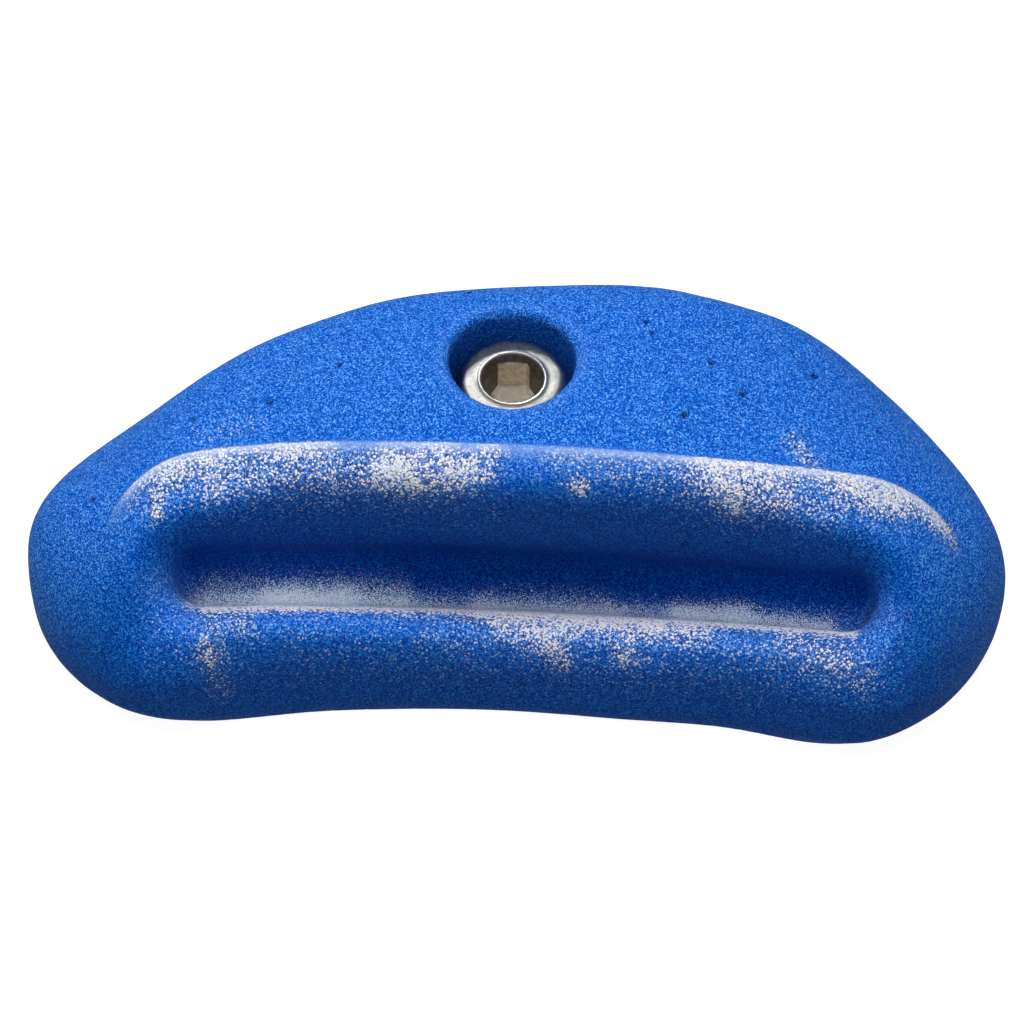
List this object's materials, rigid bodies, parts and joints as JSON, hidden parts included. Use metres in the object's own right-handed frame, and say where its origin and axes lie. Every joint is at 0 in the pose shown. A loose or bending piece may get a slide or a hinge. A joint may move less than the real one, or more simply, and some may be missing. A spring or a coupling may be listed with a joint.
{
  "type": "climbing hold",
  "caption": "Blue resin jug hold with a long finger pocket under a rounded roll and a sunk recess for its bolt, washer and cast-in load ring.",
  "frame": {"origin": "middle of the footprint, on the flat back that lies against the wall", "axes": "+X along the hold's length, +Z out of the wall and along the bolt; the finger pocket opens towards -Y, so -Y is up when the hold is on a wall"},
  "size_m": [0.1402, 0.0601, 0.0435],
  "materials": {
    "resin": "cast, sand-textured for grip, with worn chalk",
    "load_ring": "zinc plated",
    "washer": "stainless, satin",
    "screw": "stainless, bright"
  },
  "bodies": {
    "hold": {"hold_body": "resin", "seat_ring": "load_ring"},
    "washer": {"flat_washer": "washer"},
    "bolt": {"mounting_bolt": "screw"}
  },
  "joints": [
    {"name": "washer_turn", "type": "hinge", "parent": "hold", "child": "washer", "pos_m": [-0.0011, 0.0075, 0], "axis": [0, 0, 1], "continuous": true},
    {"name": "bolt_slide", "type": "slide", "parent": "washer", "child": "bolt", "axis": [0, 0, 1], "range_m": [-0.0158, 0.046]}
  ]
}
